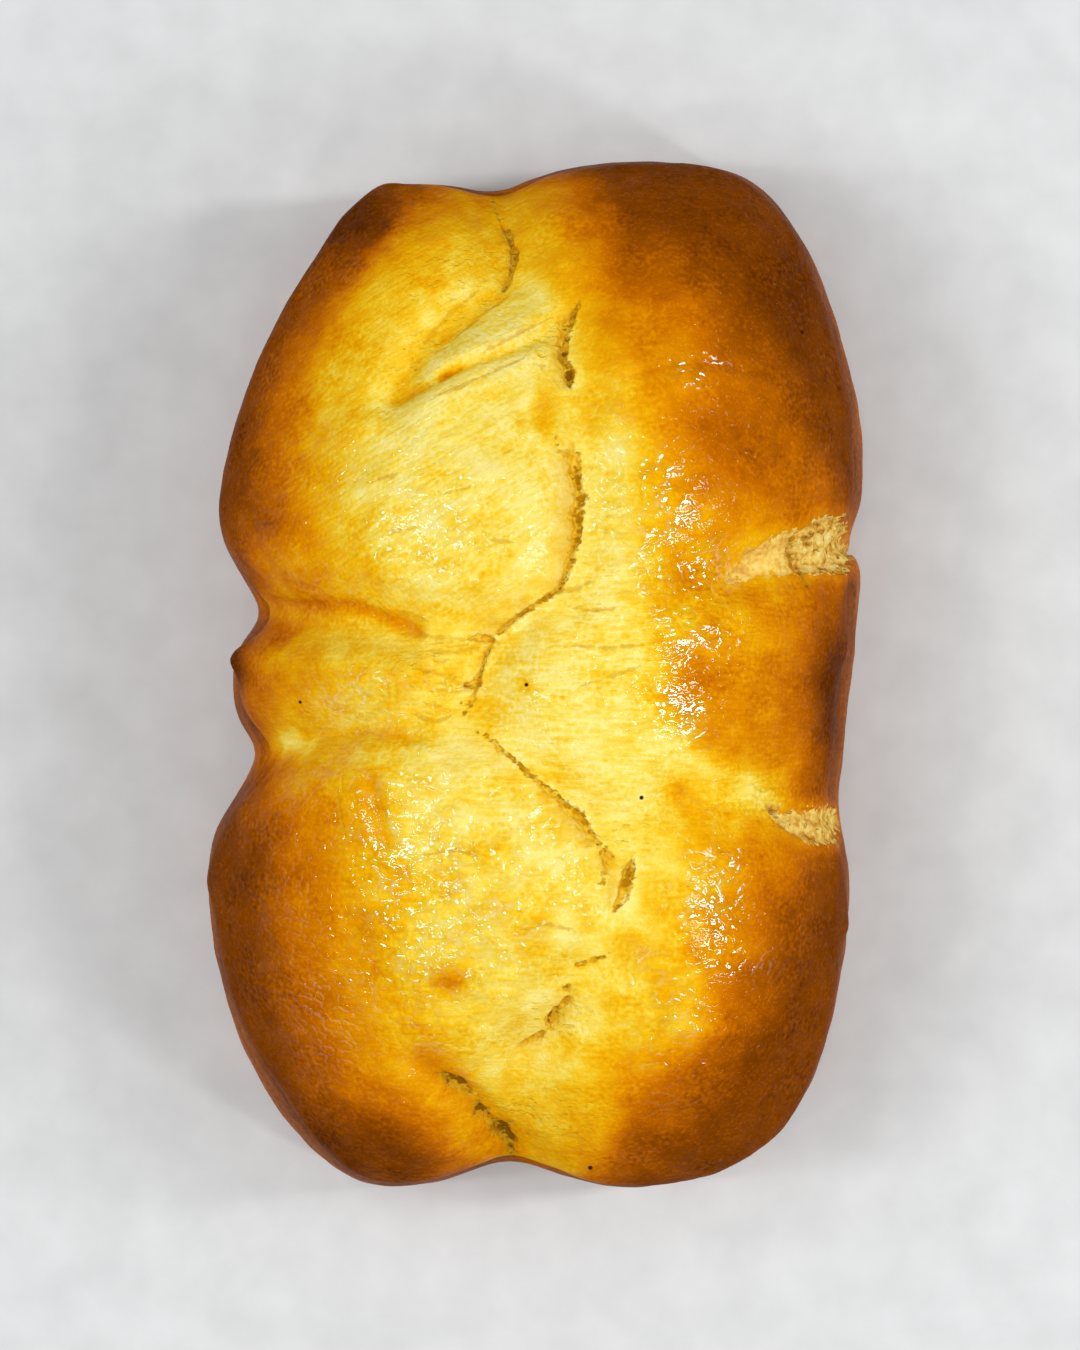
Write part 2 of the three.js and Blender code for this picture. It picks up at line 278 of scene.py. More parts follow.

# Creases: depth, half width, how much browner the crust is in them, partly browning and partly painted
# shade, how much shade is painted in them, and points of the line on the plan.
CREASES = {
    "left upper seam": (1, 1.2, 0.14, 0, [(-52, 14), (-45, 13.1), (-36, 13), (-28, 10.6), (-22, 8)]),
    "left lower seam": (0.6, 1, 0.06, 0, [(-45, -11.4), (-32, -10.6), (-22, -11.8)]),
    "browned fold": (0.9, 0.6, 0.38, 0, [(-18.3, 55.4), (-14, 57.3)]),
    "groove under the fold": (0.3, 0.9, 0.06, 0.1, [(-4.9, 60.6), (-11.6, 58), (-16.2, 55.8), (-26, 51.4)]),
    "valley beside the lobe": (0.2, 2, 0.04, 0, [
        (-5, 73), (-10, 69.7), (-14.6, 65.3), (-19.8, 60.7), (-25, 54),
    ]),
    "beside the lower pocket": (0.5, 1.2, 0, 0.5, [(13.2, -33.5), (14.6, -38.5), (13.8, -42.5)]),
    "front valley": (0.2, 3, 0.14, 0.2, [(-20.5, -72.5), (-16, -77), (-10, -83.5), (-6, -90)]),
    "beside the hole": (0.2, 2.4, 0, 0.5, [(5, -61), (3, -66), (-3, -70)]),
    "back right": (0.3, 0.8, 0.03, 0, [(16, 55), (24, 57.4), (33, 58.2), (45, 56)]),
}

# Slits, thin and sharp, painted with shade: half width and points of the line on the plan.
SLITS = {
    "left upper seam": (0.5, [(-25.4, 11.6), (-21.5, 10.4)]),
    "middle pocket, back": (0.4, [(-19, 4.5), (-15, 4.2), (-11.5, 5)]),
    "middle pocket, left": (0.4, [(-18, -2.6), (-15, -3.2), (-12.4, -2.6)]),
    "middle pocket, front": (0.35, [(-20, -5.4), (-16.5, -6.2)]),
    "left upper seam, flake": (0.4, [(-24.4, 7.8), (-19.5, 7), (-13.5, 6.6)]),
    "flake, middle left": (0.3, [(-22, 1), (-18, 0.2), (-14.5, -1.6)]),
    "flake, front left": (0.3, [(-22, -7.8), (-18.5, -8.6), (-16, -7.6)]),
    "branch": (0.4, [(4.4, 15.4), (7, 15.9), (9.6, 17)]),
    "disc, back": (0.4, [(-30, 36), (-26.6, 36.8)]),
    "disc, left": (0.4, [(-26.6, 26.6), (-23, 26.8)]),
    "disc, front": (0.35, [(-7.6, 24.8), (-5, 24.3)]),
    "middle right": (0.35, [(7, 5.4), (13, 5), (18.6, 5.6)]),
    "middle right, front": (0.35, [(9, -1.6), (13, -0.4), (18, 1.2)]),
    "middle right, back": (0.3, [(6.6, 12.4), (10, 12), (14, 12.2)]),
    "front left pinch": (0.25, [(-37, -22), (-36.4, -26), (-35.6, -29)]),
    "front": (0.3, [(2, -88.5), (6, -88), (9, -89)]),
    "strand, upper": (0.3, [(2, 66.5), (-4, 63.2), (-9, 60.4)]),
    "strand, lower": (0.3, [(-3, 58.5), (-10, 55.2), (-18, 51.5)]),
    "strand, back": (0.3, [(-6, 71), (-11, 67.5), (-15, 63.5)]),
    "lobe edge": (0.35, [(-12, 71.5), (-17, 67), (-21, 62)]),
    "disc, middle": (0.3, [(-16, 33.5), (-13, 34.2)]),
    "front left": (0.3, [(-20, -33), (-15, -32), (-12, -33)]),
    "front, middle": (0.3, [(-2, -47), (2, -46), (6, -47)]),
}
# How far from their lines slits begin to fade and are gone.
SLIT_SHOWN_MM = (0.6, 1.8)

# Folds of stretched dough: height, half width and points of the line on the plan.
FOLDS = {
    "back left lobe": (1.2, 8, [(-36, 66), (-26, 76), (-14, 82)]),
    "valley beside the lobe": (-0.5, 2.4, [
        (-4.7, 73), (-10, 69.7), (-14.6, 65.3), (-19.8, 60.7), (-27.4, 51.8),
    ]),
    "upper strand": (0.45, 2.2, [(4.2, 69), (-3.1, 65), (-10.5, 60.6), (-17, 58)]),
    "groove": (-0.5, 1.2, [(1.9, 63), (-4.9, 60.6), (-11.6, 58), (-16.2, 55.8), (-26, 51.4)]),
    "lower strand": (0.5, 2.4, [(1.2, 60), (-10.5, 53.6), (-25.3, 48), (-36.5, 45)]),
    "front valley": (-1, 4, [(-21, -72.5), (-15.5, -77.5), (-10, -83.5), (-6, -90)]),
    "pinch, front left": (-0.6, 1.5, [(-31, -20), (-29, -26), (-28, -31)]),
}

# Torn places where the crumb is bare: depth, how shredded it is, and points of the line on the plan with the
# half width there. They narrow down the wall, by so much over so far below the rim.
TEARS = {
    "right upper": (0.8, 0.1, [(35.4, 17.8, 0.3), (41, 20.9, 2.7), (46, 22.7, 3.8), (49.6, 23.2, 4)]),
    "right upper, outer": (2.4, 1, [(51, 23.2, 3.6), (56, 24.9, 5.2), (68, 25.8, 5.6)]),
    "right lower": (1.2, 0.7, [
        (42.7, -23.8, 0.2), (46.5, -27, 1.5), (50.5, -28.1, 2.7), (56, -29, 3.5), (66, -29.6, 3.8),
    ]),
}
TEAR_FOOT_MM = 40
TEAR_NARROWS_MM = 5
# How far inside a torn place it begins to sink and is full, how much of its depth its crumb swings, and how
# much it lies below the crust.
TEAR_EDGE_MM = (-0.4, 0.6)
CRUMB_SWING = 0.5
CRUMB_SINK = 0.8

# Places with open pores: middle, half sizes and how porous they are.
POROUS = {
    "back left lobe": (-16, 74, 11, 9, 0.7),
    "valley beside the lobe": (-22, 58, 7, 7, 0.8),
    "beside the upper pocket": (2, 60, 4, 6, 0.8),
    "middle left": (-19, 0, 7, 8, 0.9),
    "beside the lower crack": (8, -27, 10, 8, 0.6),
    "right of the lower crack": (17, -30, 6, 8, 0.7),
    "hole": (4, -64, 7, 7, 0.8),
    "front": (1, -84, 14, 7, 0.9),
    "right lower": (42, -22, 6, 6, 0.8),
}

# Dark specks: place on the plan and radius.
SPECKS = [(50.6, 65.4, 0.5), (19.3, -22.6, 0.5), (10.3, -95, 0.6), (-44.6, -5.1, 0.4), (-1.9, -1.8, 0.45)]

# Crust colours from pale to dark: place on the browning scale and sRGB colour.
CRUST_COLOURS = [
    (0.00, (254, 236, 136)),
    (0.09, (252, 226, 100)),
    (0.18, (249, 212, 64)),
    (0.27, (246, 195, 28)),
    (0.36, (242, 176, 8)),
    (0.52, (228, 144, 2)),
    (0.68, (200, 108, 1)),
    (0.84, (148, 74, 1)),
    (1.00, (94, 42, 1)),
]
# Bare crumb from its dips to its lumps, darker in the dips: partly its own tone and partly painted shade.
CRUMB_COLOURS = [
    (0.0, (158, 104, 28)),
    (0.3, (222, 164, 66)),
    (0.6, (252, 213, 104)),
    (1.0, (255, 240, 166)),
]
CRUMB_MIDDLE = 0.5
# A painted highlight: pale squiggles of glint on the glaze.
PAINTED_GLINT_COLOUR = (255, 244, 176)
# Painted shade on the tucked sides of cracks and in slits.
TUCKED_SHADE_COLOUR = (220, 162, 18)
# Painted shade in cracks, pores and holes, darker in deep cracks and on brown crust.
HOLLOW_SHADE_COLOURS = [(0.35, (222, 160, 18)), (0.60, (246, 198, 50))]
PIT_SHADE_COLOUR = (194, 134, 12)
DEEP_PIT_SHADE_COLOUR = (142, 94, 10)
SPECK_COLOUR = (60, 30, 4)
LIGHT_GAIN = 1.24  # how much brighter than its surface colour a level, lit surface shows

# Lumps of noise in the crust: size in millimetres or sizes along three axes, how far they swing, then detail
# and turn in degrees where they differ from the usual.
LUMPS = {
    "teeth": ((1.3, 0.9, 1.2), 0.65, 4.0),
    "pit": (1.5, 0.4),
    "slit": (1.6, 1.0),
    "torn edge": (4, 0.8),
    "fine torn edge": (1.2, 0.9, 3.0),
    "fine crumbs": (1.0, 0.22, 3.0),
    "crumb strands": ((6, 1.4, 3), 0.32, 3.0),
    "coarse crumbs": (3, 0.2),
    "fibre": ((3.4, 0.6, 3), 1.0),
    "slanted fibre": ((4, 0.6, 3), 1.0, 2.0, 30),
    "mottle": ((7, 5, 6), 1.0, 3.0),
    "grain": (0.9, 1.0, 3.0),
    "pan marks": ((1.2, 1.2, 24), 1.0),
    "wall colour": ((14, 14, 9), 0.06, 3.0),
    "wall relief": ((5, 5, 3.5), 0.1),
}
# Spots of noise: size or sizes, detail, and the noise outside the spots and inside them.
SPOTS = {
    "holes": ((4.0, 1.4, 2.0), 2.0, 0.36, 0.28),
    "pores": ((2.2, 1.0, 1.6), 3.0, 0.42, 0.32),
    "clusters": (9, 2.0, 0.42, 0.62),
    "speckles": (0.9, 1.0, 0.52, 0.68),
    "broken": (1.6, 2.0, 0.42, 0.58),
}
# Noise stays mostly between these values.
NOISE_REACH = (0.3, 0.7)
NOISE_MIDDLE = 0.5

# Where cracks open and where their bottoms show, in millimetres inside them, how far a tucked side hides the
# bottom, and the depths from which bottoms are painted in darker shade.
OPENED_MM = (-0.25, 0.1)
PIT_MM = (-0.1, 0.5)
OVERHANG_MM = -1.2
DEEP_MM = (0.9, 1.2)
# Where slits end, in half widths, where crumb begins, and how ragged it is where whole and where shredded.
SLIT_EDGE = (0.3, 1.5)
CRUMB_EDGE_MM = (-0.1, 0.1)
RAGGED = (0.5, 1.0)

# What is added to the browning, and the grain's share on dark and on pale crust.
BROWNING_SHARE = {"mottle": 0.10, "fibre": 0.10, "speckles": -0.13, "pan marks": 0.03}
GRAIN_BROWNING = (0.07, 0.10)
# How much paler the crust is beside a torn place, and how far from it that begins.
TEAR_PALER = -0.16
TEAR_PALER_MM = -3
# How strongly each colour covers the crust, how pale crust is where painted glints begin to show and show
# fully, and how brown it is where the painted shade in hollows begins to darken and is dark.
# The covers of slits, holes and pores are painted shade.
COVER = {"painted_glint": 0.4, "tuck": 0.7, "slit": 0.6, "holes": 0.8, "porous": 0.7}
PAINTED_GLINT_SHOWS = (0.45, 0.7)
HOLLOW_SHADE_DARKENS = (0.45, 0.8)
HOLLOW_NOISE = (1.6, 2.0)
SPECK_CORE = 0.6

# Glaze: winding noise that its ridges follow, how far from the middle of the noise they end, where the
# glassy lace on them ends, and how much of the glaze lies between.
WINDING_NOISE = ((3.6, 2.6, 3.0), 1.5)
RIDGE_WIDTH = (0.0, 0.12)
LACE_EDGE = (0.07, 0.15)
GLAZE_BETWEEN_LACE = 0.05
COAT_ROUGHNESS = 0.04
COAT_IOR = 2.1
# Roughness below the glaze: size of its noise, limits, and that of dull places.
ROUGHNESS_SIZE_MM = 2.5
ROUGHNESS = (0.36, 0.56)
DULL_ROUGHNESS = 0.9

# Relief in millimetres, the grain's on dark and on pale crust, and ripples in the glaze.
RELIEF_MM = {"fibre": 0.05, "crumb": 0.4, "holes": -0.6, "opened": -0.12, "pit": -0.2, "porous": -0.25,
             "slit": -0.08, "pan marks": 0.04}
GRAIN_RELIEF_MM = (0.03, 0.06)
RIPPLE_NOISE = ((2.8, 2.0, 2.4), 0.5)
RIPPLE_MM = 0.12
RIDGE_MM = 0.14

# Studio: the floor's colour, the noise and the change of its mottle, and its roughness.
FLOOR_COLOUR = np.array([0.595, 0.605, 0.61])
FLOOR_NOISE = (12, 4.0)
FLOOR_MOTTLE = 0.05
FLOOR_ROUGHNESS = 0.9
FLOOR_HALF_M = 3.0
# Brightness of the sky from the horizon, 0, to straight above, 1.
SKY = [(0.0, 0.35), (0.5, 0.8), (1.0, 1.0)]
SKY_STRENGTH = 0.58
LIGHTS = {
    # name: place in metres, size across and along in metres, power in watts, whether the glaze mirrors it
    "right_window": ((0.68, 0.08, 0.74), (0.09, 0.36), 3.3, True),
    "right_window_front": ((0.68, -0.38, 0.74), (0.09, 0.30), 2.5, True),
    "left_window": ((-0.66, -0.02, 0.98), (0.07, 0.40), 2.3, True),
    "left_fill": ((-0.66, -0.02, 0.98), (0.50, 0.60), 3.4, False),
    "lamp": ((-0.24, -0.34, 1.10), (0.06, 0.06), 0.5, True),
    "lamp_back": ((-0.30, 0.34, 1.10), (0.05, 0.05), 0.35, True),
    "lamp_front": ((-0.06, -0.62, 1.00), (0.05, 0.05), 0.35, True),
    "lamp_left": ((-0.46, -0.28, 0.90), (0.05, 0.05), 0.35, True),
}


def linear(colour):
    """An sRGB colour of 0 to 255 as linear values."""
    share = np.array(colour, float) / 255
    return np.where(share <= 0.04045, share / 12.92, ((share + 0.055) / 1.055) ** 2.4)


def smoothstep(low, high, value):
    share = np.clip((value - low) / (high - low), 0, 1)
    return share * share * (3 - 2 * share)


def noise_at(points, size, shift=0.0):
    """Smooth noise between about -1 and 1 at points in millimetres, with lumps of the given size."""
    scaled = points / size + shift
    return np.fromiter((noise.noise(p) for p in scaled), float, len(scaled))


def layered_noise(points, layers):
    """A sum of noises, from the amount, the lump size and the shift of each."""
    return sum(amount * noise_at(points, size, shift) for amount, size, shift in layers)


def along_line(points, line):
    """Distance of points from a line on the plan, above 0 to the left of it, and its half width there."""
    line = np.array(line, float)
    best = np.full(len(points), np.inf)
    side = np.ones(len(points))
    width = np.zeros(len(points))
    for start, end in zip(line[:-1], line[1:]):
        step = (end - start)[:2]
        offset = points[:, :2] - start[:2]
        share = np.clip((offset @ step) / (step @ step), 0, 1)
        distance = np.hypot(*(offset - share[:, None] * step).T)
        closer = distance < best
        best[closer] = distance[closer]
        side[closer] = np.sign(step[0] * offset[:, 1] - step[1] * offset[:, 0])[closer]
        width[closer] = (start[2] + share * (end[2] - start[2]))[closer]
    return best * side, width


def patch(points, x, y, across, along):
    """1 in the middle of an ellipse on the plan, falling smoothly to 0 outside it."""
    return np.exp(-(((points[:, 0] - x) / across) ** 2 + ((points[:, 1] - y) / along) ** 2))


def read_points(mesh):
    """A mesh's points in millimetres."""
    flat = np.empty(len(mesh.vertices) * 3)
    mesh.vertices.foreach_get("co", flat)
    return flat.reshape(-1, 3) / MM


def write_points(mesh, points):
    mesh.vertices.foreach_set("co", (points * MM).ravel())
    mesh.update()


def read_normals(mesh):
    flat = np.empty(len(mesh.vertices) * 3)
    mesh.vertices.foreach_get("normal", flat)
    return flat.reshape(-1, 3)


def smooth_copy(node):
    """The CAD loaf as a smooth mesh of four-sided faces, with fewer of them on the wall and the base."""
    mesh = node.data.copy()
    shape = bmesh.new()
    shape.from_mesh(mesh)
    bmesh.ops.remove_doubles(shape, verts=shape.verts, dist=MERGE_MM * MM)
    bmesh.ops.join_triangles(
        shape, faces=shape.faces, angle_face_threshold=math.pi, angle_shape_threshold=math.pi
    )
    shape.to_mesh(mesh)
    loaf = bpy.data.objects.new("loaf_crust", mesh)
    bpy.context.scene.collection.objects.link(loaf)
    smoothing = loaf.modifiers.new("smooth", "SUBSURF")
    smoothing.levels = SMOOTH_LEVELS
    smoothed = bpy.data.meshes.new_from_object(loaf.evaluated_get(bpy.context.evaluated_depsgraph_get()))
    loaf.modifiers.clear()
    loaf.data = smoothed
    bpy.data.meshes.remove(mesh)
    shape.clear()
    shape.from_mesh(smoothed)
    low = [point for point in shape.verts if point.co.z < THIN_BELOW_MM * MM]
    bmesh.ops.unsubdivide(shape, verts=low, iterations=THIN_ROUNDS)
    shape.to_mesh(smoothed)
    shape.free()
    return loaf


def smooth_heights(mesh, height, share, rounds):
    """Heights of a mesh's points, moved in rounds a share of the way to their neighbours' average."""
    ends = np.empty(len(mesh.edges) * 2, int)
    mesh.edges.foreach_get("vertices", ends)
    first, second = ends.reshape(-1, 2).T
    count = len(height)
    neighbours = np.bincount(first, minlength=count) + np.bincount(second, minlength=count)
    height = height.copy()
    for _ in range(rounds):
        total = np.bincount(first, height[second], count) + np.bincount(second, height[first], count)
        height += share * (total / neighbours - height)
    return height


def fill_wide_cracks(loaf):
    """Lifts the bottoms of the CAD cracks to a soft dip, by averaging heights close to them."""
    points = read_points(loaf.data)
    distance = np.min([np.abs(along_line(points, line)[0]) for *_, line in CRACKS.values()], axis=0)
    near = (1 - smoothstep(*FILL_REACH_MM, distance)) * (points[:, 2] > RIM_MM)
    near = np.maximum(near, patch(points, *LEVELLED) * (points[:, 2] > RIM_MM))
    points[:, 2] = smooth_heights(loaf.data, points[:, 2], near, FILL_ROUNDS)
    write_points(loaf.data, points)


def split_faces(loaf, near):
    """Splits the faces between the points that are marked."""
    shape = bmesh.new()
    shape.from_mesh(loaf.data)
    edges = [e for e in shape.edges if near[e.verts[0].index] and near[e.verts[1].index]]
    bmesh.ops.subdivide_edges(shape, edges=edges, cuts=1, use_grid_fill=True)
    shape.to_mesh(loaf.data)
    shape.free()


def refine(loaf):
    """Splits the faces close to cracks and tears, so that their edges can be ragged."""
    for turn, reach in enumerate(CRACK_REFINE_MM):
        points = read_points(loaf.data)
        near = np.zeros(len(points), bool)
        for *_, line in CRACKS.values():
            distance, width = along_line(points, line)
            near |= np.abs(distance) < width + reach
        near &= points[:, 2] > RIM_MM - CRACK_BELOW_RIM_MM
        inside, *_ = tear_fields(points)
        coarse = (points[:, 2] < THIN_BELOW_MM) | (turn == 0)
        split_faces(loaf, near | (coarse & (inside > -TEAR_REFINE_MM)))


def outline_share(points, cad_points):
    """How far points are from the loaf's middle, as a share of the way to the rim."""
    rim = cad_points[np.abs(cad_points[:, 2] - RIM_MM) < RIM_TOLERANCE_MM]
    angles = np.arctan2(rim[:, 1], rim[:, 0])
    order = np.argsort(angles)
    radius = np.interp(
        np.arctan2(points[:, 1], points[:, 0]),
        angles[order],
        np.hypot(rim[order, 0], rim[order, 1]),
        period=2 * math.pi,
    )
    return np.hypot(points[:, 0], points[:, 1]) / radius


def ball_shares(points):
    """For each ball, how much of each point belongs to it."""
    closeness = []
    for middle, half, *_ in BALLS.values():
        offset = (points[:, :2] - middle) / half
        closeness.append(np.exp(-BALL_BLEND * (offset**2).sum(axis=1)))
    closeness = np.array(closeness) + LEAST_CLOSENESS
    return closeness / closeness.sum(axis=0)


def fibres(points, shares):
    """Stretched dough: noise drawn out along each ball's own direction, as strong as it shows there."""
    total = np.zeros(len(points))
    for (*_, turn_deg, drawn), share in zip(BALLS.values(), shares):
        turn = math.radians(turn_deg)
        along = points[:, 0] * math.cos(turn) + points[:, 1] * math.sin(turn)
        across = points[:, 1] * math.cos(turn) - points[:, 0] * math.sin(turn)
        turned = np.stack([along, across, points[:, 2]], axis=1)
        total += drawn * share * noise_at(turned, FIBRE_MM)
    return total


def browning(points, share, streaks):
    """How brown the crust is at each point, from 0, pale, to 1, dark."""
    directions, golden, brown = np.array(list(BROWNING.values())).T
    angle = np.degrees(np.arctan2(points[:, 1], points[:, 0]))
    turns_golden = np.interp(angle, directions, golden, period=360)
    turns_brown = np.interp(angle, directions, brown, period=360)
    way = share + layered_noise(points, BROWNING_EDGE_NOISE)
    begins, ends = GOLDEN_STAGE
    level = MIDDLE_BROWNING + GOLDEN_ADDS * smoothstep(turns_golden + begins, turns_golden + ends, way)
    level += BROWN_ADDS * np.clip((way - turns_golden) / (turns_brown - turns_golden), 0, 1)
    level += DARK_ADDS * np.clip((way - turns_brown) / DARK_STAGE, 0, 1)
    for *place, change in PATCHES.values():
        level += change * patch(points, *place)
    uneven = layered_noise(points, UNEVEN_BROWNING_NOISE)
    level += (uneven + FIBRE_BROWNING * streaks) * (1 - BROWN_EVENNESS * level)
    wall = WALL_BROWNING + RIM_ADDS * smoothstep(*RIM_ADDS_MM, points[:, 2]) + seam_change(points)
    below_rim = smoothstep(*WALL_MM, points[:, 2])
    return np.clip(level * (1 - below_rim) + wall * below_rim, PALEST, 1)


def seam_change(points):
    """How much paler the walls are along the seams, on the browning scale."""
    strayed = points + layered_noise(points, SEAM_STRAY_NOISE)[:, None]
    change = sum(amount * patch(strayed, *place) for *place, amount in WALL_SEAMS.values())
    return change * smoothstep(*SEAM_FADE_MM, points[:, 2])


def glazing(points):
    """How much glassy egg wash lies on the crust."""
    pooled = np.full(len(points), LEAST_GLAZE)
    for *place, amount in GLAZE.values():
        pooled = np.maximum(pooled, amount * patch(points, *place))
    pooled *= 1 + layered_noise(points, GLAZE_NOISE)
    return np.clip(pooled, 0, 1)


def porousness(points):
    amount = np.zeros(len(points))
    for *place, share in POROUS.values():
        amount = np.maximum(amount, share * patch(points, *place))
    return amount


def crack_fields(points):
    """How far points are inside a crack, how much they tuck under beside it, where shade is painted, and how
    deep they sink.
    """
    gap = np.full(len(points), -FIELD_REACH_MM)
    tuck = np.zeros(len(points))
    sink = np.zeros(len(points))
    gape = np.clip(GAPE_MIDDLE + layered_noise(points, GAPE_NOISE), *GAPE_LIMITS)
    for depth, soft, line in CRACKS.values():
        distance, width = along_line(points, line)
        width = width * gape
        away = np.abs(distance)
        under = smoothstep(-width - TUCK_EDGE_MM, width + TUCK_EDGE_MM, distance * np.sign(soft))
        under *= np.exp(-((away / soft) ** 2)) * smoothstep(0, TUCK_WIDTH_MM, width)
        inside = 1 - smoothstep(CRACK_LEVEL * width, width + CRACK_LIP_MM, away)
        inside *= smoothstep(0, CRACK_WIDTH_MM, width)
        gap = np.maximum(gap, width - away)
        tuck = np.maximum(tuck, under)
        sink = np.maximum(sink, depth * np.maximum(inside, TUCK_DEPTH * under))
    return gap, tuck, sink


def tear_fields(points):
    """How far points are inside a torn place, how deep the crumb lies there and how shredded it is."""
    torn = np.full(len(points), -FIELD_REACH_MM)
    depths = np.zeros(len(points))
    shredded = np.zeros(len(points))
    narrowed = TEAR_NARROWS_MM * smoothstep(RIM_MM, RIM_MM - TEAR_FOOT_MM, points[:, 2])
    for depth, shred, line in TEARS.values():
        distance, width = along_line(points, line)
        inside = width - np.abs(distance) - narrowed
        shredded = np.where(inside > torn, shred, shredded)
        torn = np.maximum(torn, inside)
        depths = np.maximum(depths, depth * smoothstep(*TEAR_EDGE_MM, inside))
    return torn, depths, shredded


def slit_fields(points):
    """How far points are from the nearest slit, in half widths, and whether it shows."""
    nearest = np.full(len(points), np.inf)
    across = np.zeros(len(points))
    for width, line in SLITS.values():
        distance, _ = along_line(points, [(x, y, 0) for x, y in line])
        closer = np.abs(distance) < nearest
        nearest[closer] = np.abs(distance)[closer]
        across[closer] = distance[closer] / width
    return across, 1 - smoothstep(*SLIT_SHOWN_MM, nearest)


def fold_heights(points):
    height = np.zeros(len(points))
    for rise, width, line in FOLDS.values():
        distance, _ = along_line(points, [(x, y, 0) for x, y in line])
        height += rise * np.exp(-((distance / width) ** 2))
    return height


def dress_shape(loaf, cad_points):
    """Moves the mesh's points for cracks, tears, folds and unevenness, and stores the colour masks."""
    points = read_points(loaf.data)
    normals = read_normals(loaf.data)
    crown = smoothstep(*CROWN_MM, points[:, 2])
    shares = ball_shares(points)
    streaks = fibres(points, shares) * crown
    brown = browning(points, outline_share(points, cad_points), streaks)
    gap, tuck, sink = crack_fields(points)
    crack_depth = sink
    torn, torn_depth, shredded = tear_fields(points)
    slit, slit_shown = slit_fields(points)
    wavy = layered_noise(points, CREASE_NOISE)
    # Creases brown the crust, partly as painted shade, and add to the painted shade of tucked sides.
    for depth, width, browner, shaded, line in CREASES.values():
        distance, _ = along_line(points, [(x, y, 0) for x, y in line])
        inside = np.exp(-(((np.abs(distance) + wavy) / width) ** 2))
        sink = sink + depth * inside
        brown = brown + browner * inside * crown
        tuck = np.maximum(tuck, shaded * inside)

    lift = (fold_heights(points) - sink) * crown
    lift += FIBRE_HEIGHT_MM * streaks * (1 - brown)
    lift += layered_noise(points, HEIGHT_NOISE)
    lift += torn_depth * (CRUMB_SWING * layered_noise(points, CRUMB_NOISE) - CRUMB_SINK)
    above_base = smoothstep(*BASE_EDGE_MM, points[:, 2])
    points = points + normals * (lift * above_base)[:, None]
    write_points(loaf.data, points)
    # Painted shade: hollows of the crown are browned, partly for egg wash pooled there.
    shaded_hollow = smooth_heights(loaf.data, points[:, 2], 1.0, HOLLOW_ROUNDS) - points[:, 2]
    brown = brown + HOLLOW_SHADE_BROWNING * np.clip(shaded_hollow, *HOLLOW_DEPTHS_MM) * crown * (1 - brown)
    off_seams = smoothstep(*SEAM_SHEEN, seam_change(points))

    masks = {
        "brown": brown,
        "gap": np.where(crown > 0, gap, -FIELD_REACH_MM),
        "tuck": tuck * crown,
        "crack_depth": crack_depth,
        "torn": torn,
        "shred": shredded,
        "slit": slit,
        "slit_shown": slit_shown * crown,
        "drawn": sum(drawn * share for (*_, drawn), share in zip(BALLS.values(), shares)),
        "porous": porousness(points) * crown,
        "wet": glazing(points),
        "sheen": SIDE_SHEEN * smoothstep(*SIDE_SHEEN_FACING, normals[:, 2]) * off_seams,
        "slant": shares[list(BALLS).index("back_left")],
        "wall": smoothstep(*WALL_MM, points[:, 2]),
    }
    for name, values in masks.items():
        loaf.data.attributes.new(name, "FLOAT", "POINT").data.foreach_set("value", values)


